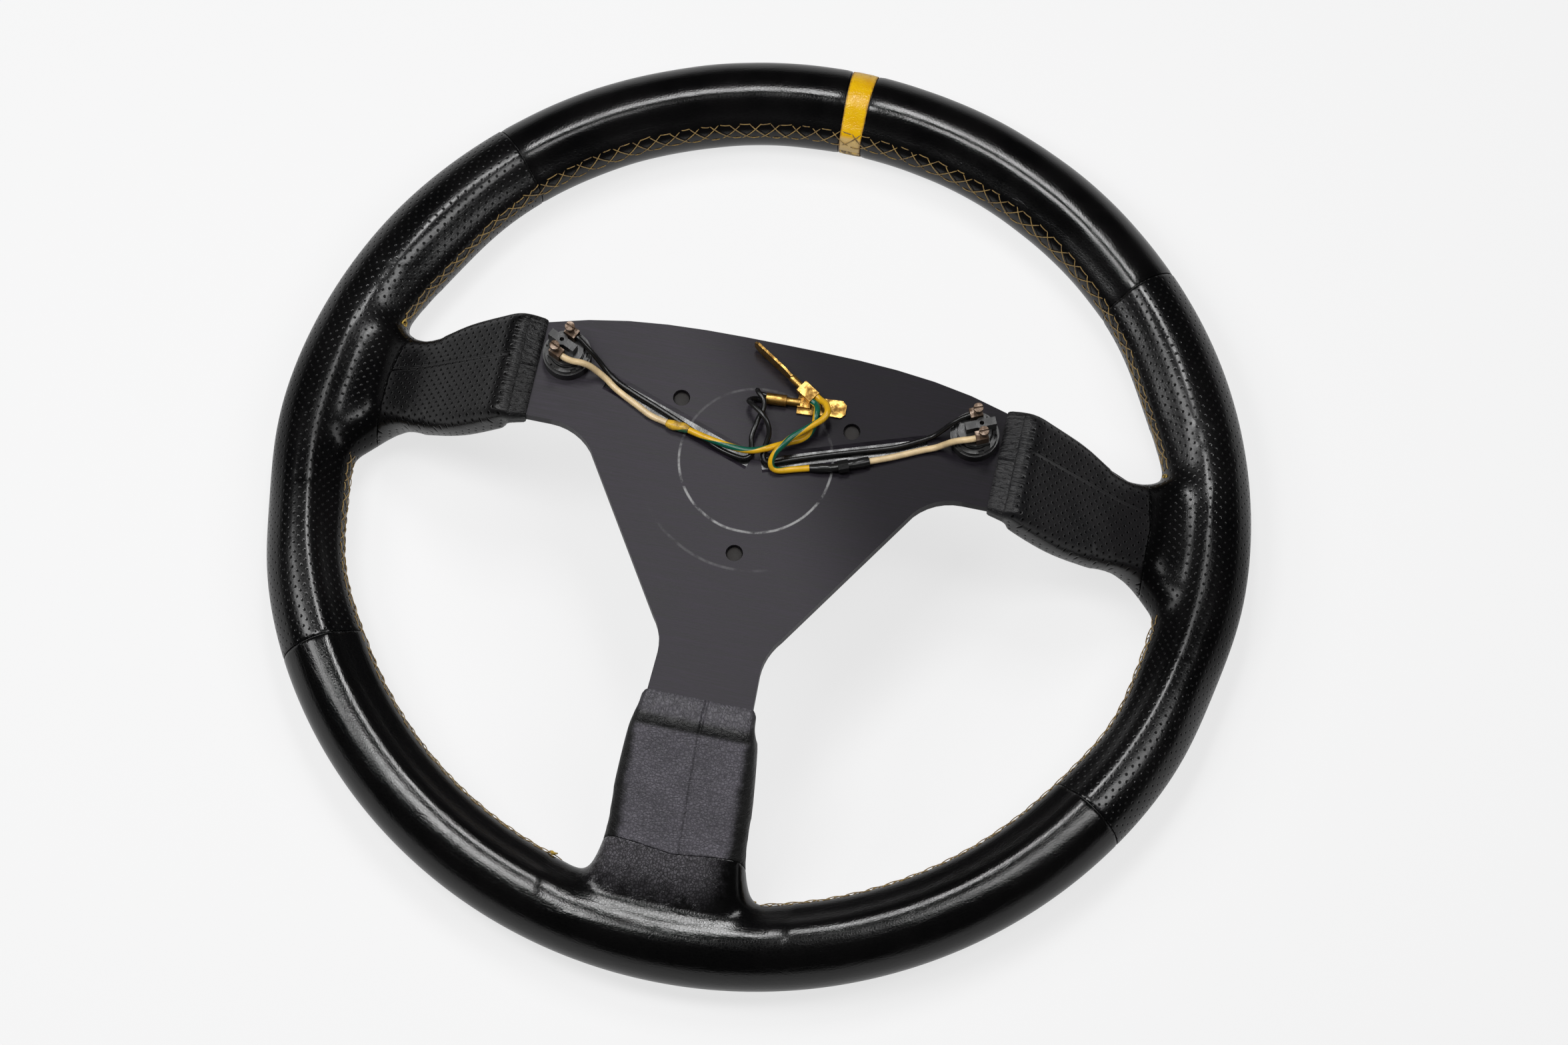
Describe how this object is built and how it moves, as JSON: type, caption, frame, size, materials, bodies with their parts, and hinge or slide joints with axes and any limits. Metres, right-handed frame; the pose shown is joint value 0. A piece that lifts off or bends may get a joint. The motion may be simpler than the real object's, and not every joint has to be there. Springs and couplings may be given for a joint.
{
  "type": "car steering wheel",
  "caption": "Dished car steering wheel: leather-wrapped padded rim and spokes on a flat metal plate, horn push buttons with screw terminals and loose leads, yellow centre mark",
  "frame": {"origin": "centre of the hub's bolt circle on the plate's rear face", "axes": "+Z points along the steering axis to the column, +Y to 12 o'clock (the yellow mark), +X to the right as seen from the column side"},
  "size_m": [0.3494, 0.35, 0.086],
  "materials": {
    "black_plate": "satin black, brushed",
    "bare_aluminium": "bare tube",
    "foam": "moulded foam",
    "black_leather": "smooth, fine pebble grain",
    "perforated_leather": "perforated",
    "yellow_leather": "smooth",
    "black_plastic": "moulded",
    "red_plastic": "moulded",
    "spring_steel": "bright wire",
    "brass": "stamped brass",
    "black_sealant": "glossy sealant",
    "black_wire": "insulation",
    "cream_wire": "insulation",
    "striped_wire": "yellow insulation with a green stripe"
  },
  "bodies": {
    "wheel": {"spoke_plate": "black_plate", "rim_hoop": "bare_aluminium", "foam_core": "foam", "top_left_leather": "black_leather", "top_right_leather": "black_leather", "bottom_leather": "black_leather", "left_grip_leather": "perforated_leather", "right_grip_leather": "perforated_leather", "centre_marker": "yellow_leather", "left_spoke_sleeve": "perforated_leather", "right_spoke_sleeve": "perforated_leather", "bottom_spoke_sleeve": "black_leather", "left_button_body": "black_plastic", "left_ring_nut": "black_plastic", "left_bezel": "black_plastic", "left_return_spring": "spring_steel", "left_terminal_block": "black_plastic", "left_wire_clamps": "brass", "left_clamp_screws": "brass", "right_button_body": "black_plastic", "right_ring_nut": "black_plastic", "right_bezel": "black_plastic", "right_return_spring": "spring_steel", "right_terminal_block": "black_plastic", "right_wire_clamps": "brass", "right_clamp_screws": "brass", "left_channel_sealant": "black_sealant", "right_channel_sealant": "black_sealant", "left_black_lead": "black_wire", "right_black_lead": "black_wire", "left_cream_lead": "cream_wire", "right_cream_lead": "cream_wire", "left_earth_lead": "striped_wire", "right_earth_lead": "striped_wire", "left_splice": "striped_wire", "right_splice_sleeve": "black_wire", "right_splice_collar": "black_wire", "flat_spade": "brass", "upright_spade": "brass"},
    "left_button": {"left_push_cap": "red_plastic"},
    "right_button": {"right_push_cap": "red_plastic"}
  },
  "joints": [
    {"name": "left_horn_push", "type": "slide", "parent": "wheel", "child": "left_button", "axis": [0, 0, 1], "range_m": [0, 0.0014], "stiffness_N_per_m": 1500, "springref_m": -0.003, "deforming": ["left_return_spring"]},
    {"name": "right_horn_push", "type": "slide", "parent": "wheel", "child": "right_button", "axis": [0, 0, 1], "range_m": [0, 0.0014], "stiffness_N_per_m": 1500, "springref_m": -0.003, "deforming": ["right_return_spring"]}
  ]
}
